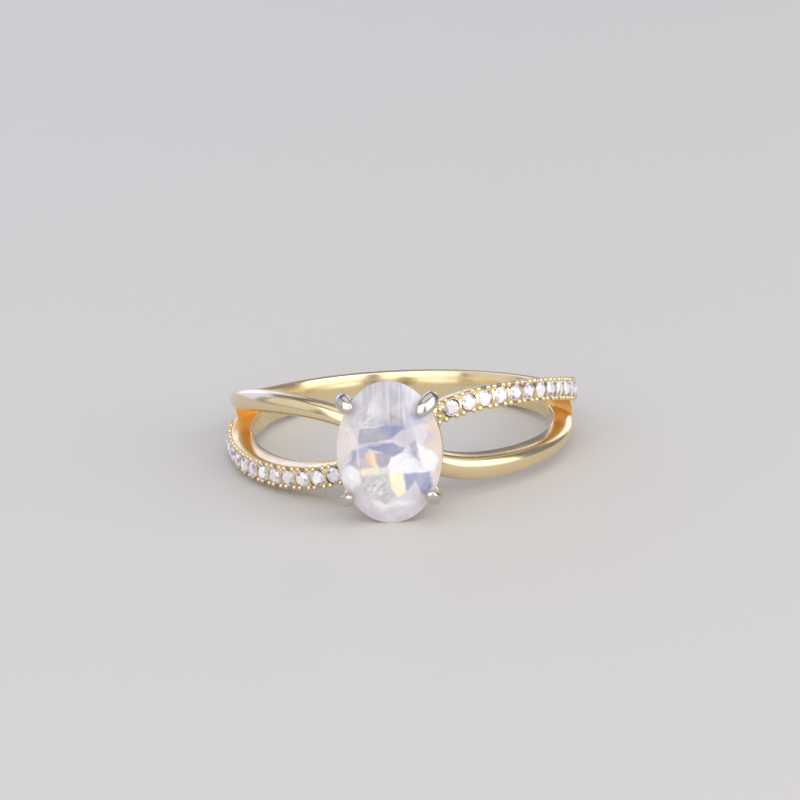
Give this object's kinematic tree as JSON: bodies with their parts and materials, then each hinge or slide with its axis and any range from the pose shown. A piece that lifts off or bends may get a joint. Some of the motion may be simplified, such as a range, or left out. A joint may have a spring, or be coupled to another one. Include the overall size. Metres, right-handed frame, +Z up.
{
  "type": "finger ring",
  "caption": "Bypass finger ring lying on its side: a plain and a stone-set gold strand cross at an oval faceted moonstone held by claws.",
  "frame": {"origin": "centre of the bounding box's base, on the floor the ring lies on", "axes": "+Z up, -Y towards the moonstone, +X to the right when the moonstone faces the viewer"},
  "size_m": [0.0202, 0.0234, 0.0078],
  "materials": {
    "gold": "polished pale yellow gold plate, rhodium on the claw tips",
    "moonstone": "polished faceted moonstone, milky with a blue sheen",
    "accent": "polished clear cubic zirconia"
  },
  "bodies": {
    "root": {"band": "gold", "moonstone": "moonstone", "accent_left_01": "accent", "accent_left_02": "accent", "accent_left_03": "accent", "accent_left_04": "accent", "accent_left_05": "accent", "accent_left_06": "accent", "accent_left_07": "accent", "accent_left_08": "accent", "accent_left_09": "accent", "accent_left_10": "accent", "accent_left_11": "accent", "accent_left_12": "accent", "accent_left_13": "accent", "accent_right_01": "accent", "accent_right_02": "accent", "accent_right_03": "accent", "accent_right_04": "accent", "accent_right_05": "accent", "accent_right_06": "accent", "accent_right_07": "accent", "accent_right_08": "accent", "accent_right_09": "accent", "accent_right_10": "accent", "accent_right_11": "accent", "accent_right_12": "accent", "accent_right_13": "accent"}
  },
  "joints": []
}
